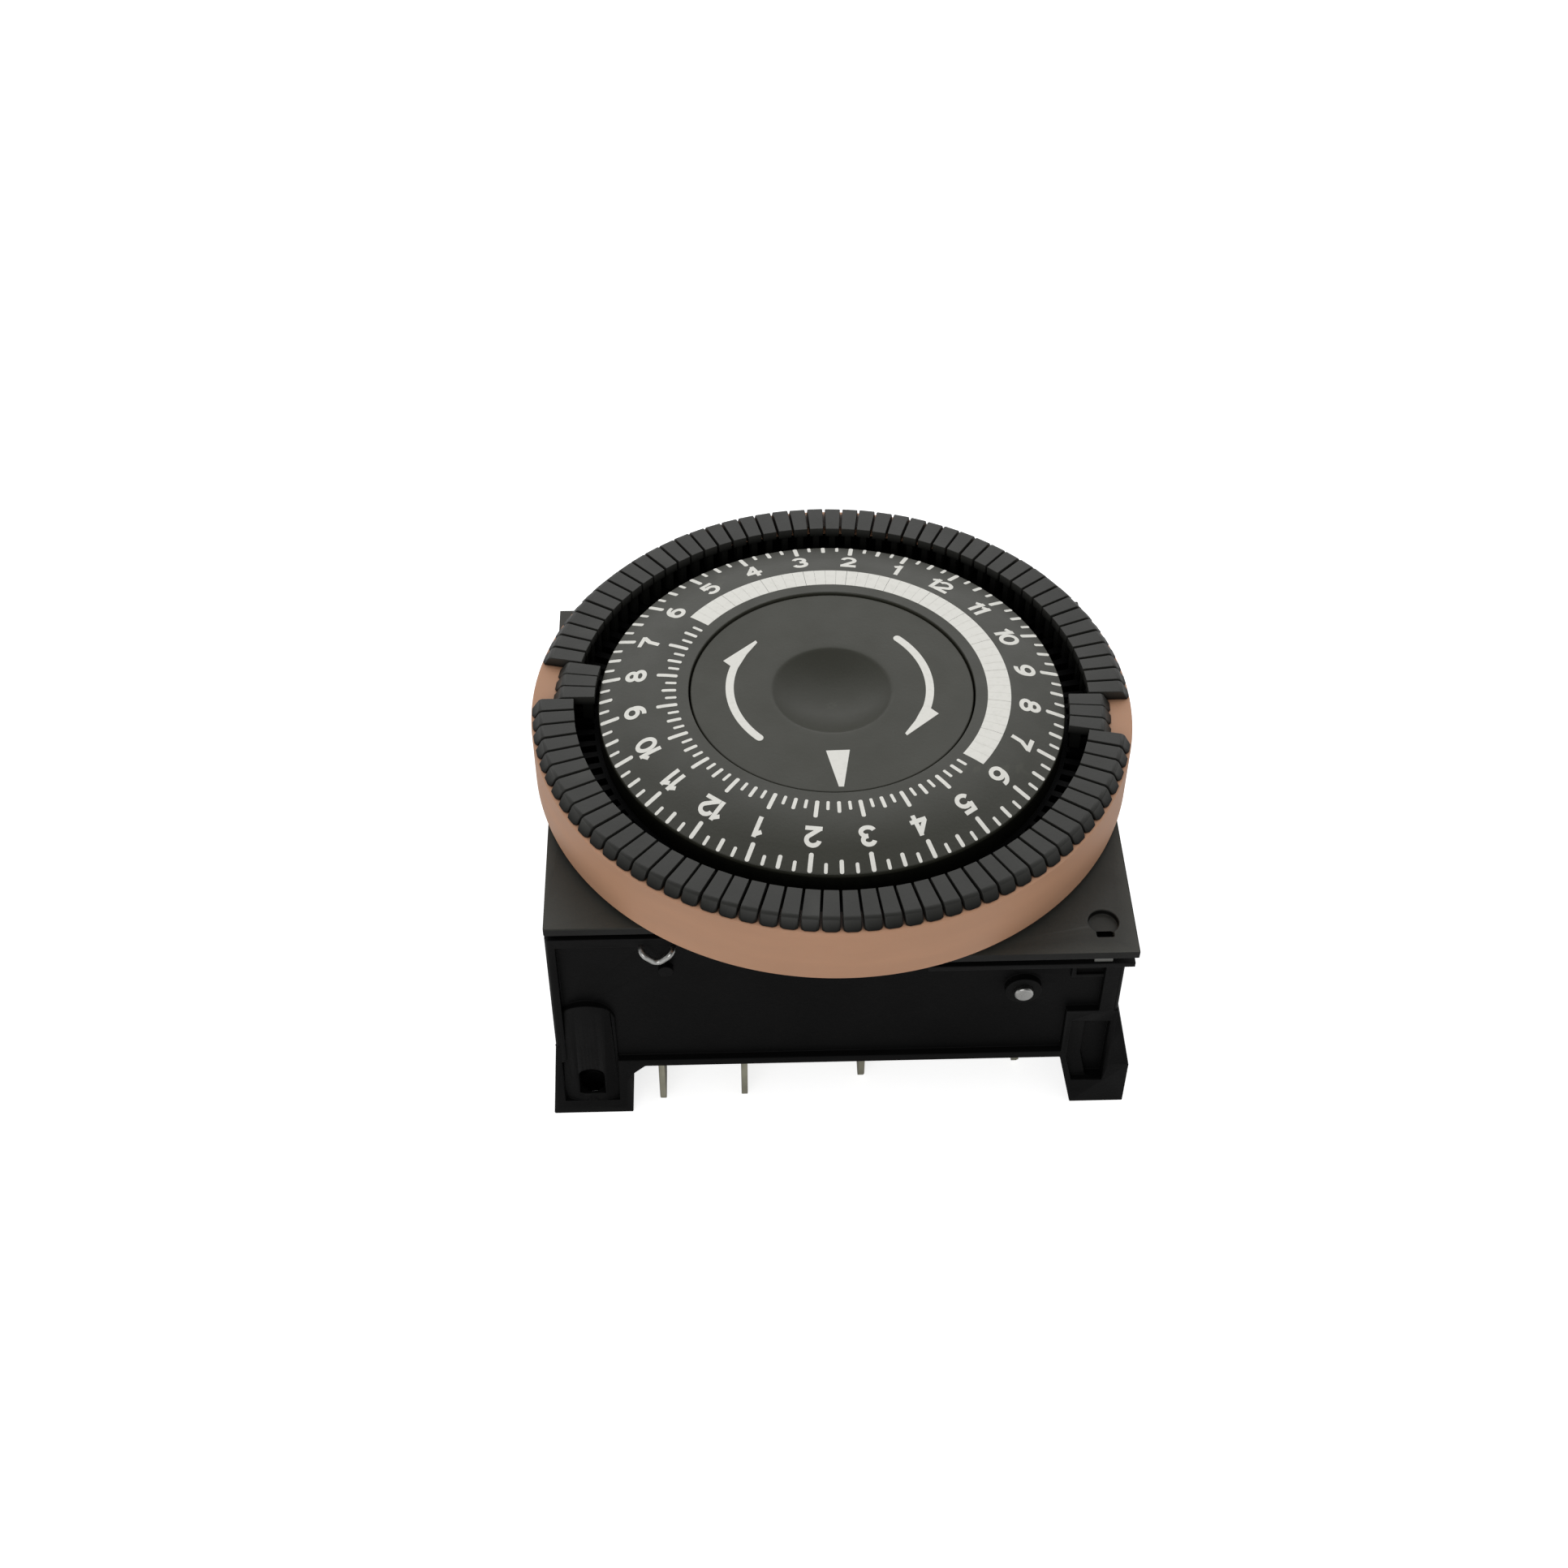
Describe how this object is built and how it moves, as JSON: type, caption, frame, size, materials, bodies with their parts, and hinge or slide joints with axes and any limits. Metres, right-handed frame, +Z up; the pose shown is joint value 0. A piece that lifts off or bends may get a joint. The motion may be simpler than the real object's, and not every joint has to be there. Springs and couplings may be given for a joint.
{
  "type": "time switch module",
  "caption": "Day-dial time switch module: sliding trippers round a number ring and a fixed centre disc turn on a black box that stands on feet, with blade terminals below.",
  "frame": {"origin": "on the dial's axis, in the plane that the feet stand on", "axes": "+Z up along the dial's axis, -Y is the front with the switch's terminals, +X to the right"},
  "size_m": [0.0748, 0.074, 0.0483],
  "materials": {
    "housing_black": "moulded black plastic with a fine texture",
    "plate_black": "moulded black plastic, satin",
    "ring_salmon": "moulded salmon plastic, satin",
    "tripper_grey": "moulded dark grey plastic, satin",
    "face_grey": "moulded dark grey plastic with white print",
    "gear_white": "natural acetal",
    "steel": "zinc plated steel",
    "tinned_brass": "tinned brass strip",
    "copper": "enamelled copper wire",
    "magnet": "ferrite",
    "insulation": "insulated lead",
    "silver": "silver alloy"
  },
  "bodies": {
    "housing": {"housing_base": "housing_black", "top_plate": "plate_black", "plate_clip": "gear_white", "plate_screws": "steel", "front_screw": "steel", "dial_post": "steel", "post_clip": "steel", "centre_disc": "face_grey", "gear_plate": "steel", "gear_plate_screws": "steel", "idler_axle": "steel", "motor_can": "steel", "motor_coil": "copper", "motor_gearbox": "gear_white", "motor_leads": "insulation", "terminal_nc": "tinned_brass", "terminal_common": "tinned_brass", "terminal_no": "tinned_brass", "terminal_line": "tinned_brass", "terminal_neutral": "tinned_brass", "fixed_contacts": "silver", "lever_pin": "steel", "lever_spring": "steel"},
    "dial": {"dial_ring": "ring_salmon", "tripper_carrier": "housing_black", "dial_wheel": "housing_black", "dial_face": "face_grey", "trippers_rear_bank": "tripper_grey", "trippers_front_bank": "tripper_grey"},
    "drive_shaft": {"drive_shaft": "steel", "clutch_spring": "steel", "clutch_collar": "steel"},
    "clutch_wheel": {"clutch_wheel": "gear_white"},
    "idler": {"idler_gear": "gear_white"},
    "output_pinion": {"output_pinion": "steel"},
    "rotor": {"motor_rotor": "magnet"},
    "lever": {"switch_lever": "gear_white"},
    "blade": {"contact_blade": "tinned_brass", "moving_contact": "silver"},
    "tripper_pm_1": {"tripper_pm_1": "tripper_grey"},
    "tripper_pm_2": {"tripper_pm_2": "tripper_grey"},
    "tripper_pm_3": {"tripper_pm_3": "tripper_grey"},
    "tripper_am_1": {"tripper_am_1": "tripper_grey"},
    "tripper_am_2": {"tripper_am_2": "tripper_grey"},
    "tripper_am_3": {"tripper_am_3": "tripper_grey"}
  },
  "joints": [
    {"name": "dial_turn", "type": "hinge", "parent": "housing", "child": "dial", "pos_m": [0, 0, 0.041], "axis": [0, 0, 1], "continuous": true},
    {"name": "shaft_turn", "type": "hinge", "parent": "housing", "child": "drive_shaft", "pos_m": [-0.01819, 0.0105, 0.03], "axis": [0, 0, 1], "continuous": true},
    {"name": "clutch_turn", "type": "hinge", "parent": "housing", "child": "clutch_wheel", "pos_m": [-0.01819, 0.0105, 0.03], "axis": [0, 0, 1], "continuous": true},
    {"name": "idler_turn", "type": "hinge", "parent": "housing", "child": "idler", "pos_m": [-0.00419, 0.0105, 0.028], "axis": [0, 0, 1], "continuous": true},
    {"name": "output_turn", "type": "hinge", "parent": "housing", "child": "output_pinion", "pos_m": [0.00596, 0.00577, 0.028], "axis": [0, 0, 1], "continuous": true},
    {"name": "rotor_spin", "type": "hinge", "parent": "housing", "child": "rotor", "pos_m": [0.009, 0.0075, 0.017], "axis": [0, 0, 1], "continuous": true},
    {"name": "lever_rock", "type": "hinge", "parent": "housing", "child": "lever", "pos_m": [-0.0209, -0.0213, 0.0306], "axis": [0, -1, 0], "range_deg": [0, 6], "stiffness_Nm_per_rad": 0.023},
    {"name": "blade_bend", "type": "hinge", "parent": "housing", "child": "blade", "pos_m": [-0.0185, -0.0213, 0.0135], "axis": [0, 1, 0], "range_deg": [0, 3.2]},
    {"name": "slide_pm_1", "type": "slide", "parent": "dial", "child": "tripper_pm_1", "axis": [-0.9843, 0.1767, 0], "range_m": [0, 0.0025]},
    {"name": "slide_pm_2", "type": "slide", "parent": "dial", "child": "tripper_pm_2", "axis": [-0.9937, 0.1119, 0], "range_m": [0, 0.0025]},
    {"name": "slide_pm_3", "type": "slide", "parent": "dial", "child": "tripper_pm_3", "axis": [-0.9989, 0.0467, 0], "range_m": [0, 0.0025]},
    {"name": "slide_am_1", "type": "slide", "parent": "dial", "child": "tripper_am_1", "axis": [0.9843, -0.1767, 0], "range_m": [0, 0.0025]},
    {"name": "slide_am_2", "type": "slide", "parent": "dial", "child": "tripper_am_2", "axis": [0.9937, -0.1119, 0], "range_m": [0, 0.0025]},
    {"name": "slide_am_3", "type": "slide", "parent": "dial", "child": "tripper_am_3", "axis": [0.9989, -0.0467, 0], "range_m": [0, 0.0025]}
  ],
  "couplings": [
    {"joint": "shaft_turn", "follows": "dial_turn", "ratio": -5},
    {"joint": "idler_turn", "follows": "clutch_turn", "ratio": -4},
    {"joint": "output_turn", "follows": "clutch_turn", "ratio": 12},
    {"joint": "blade_bend", "follows": "lever_rock", "ratio": 0.43}
  ]
}
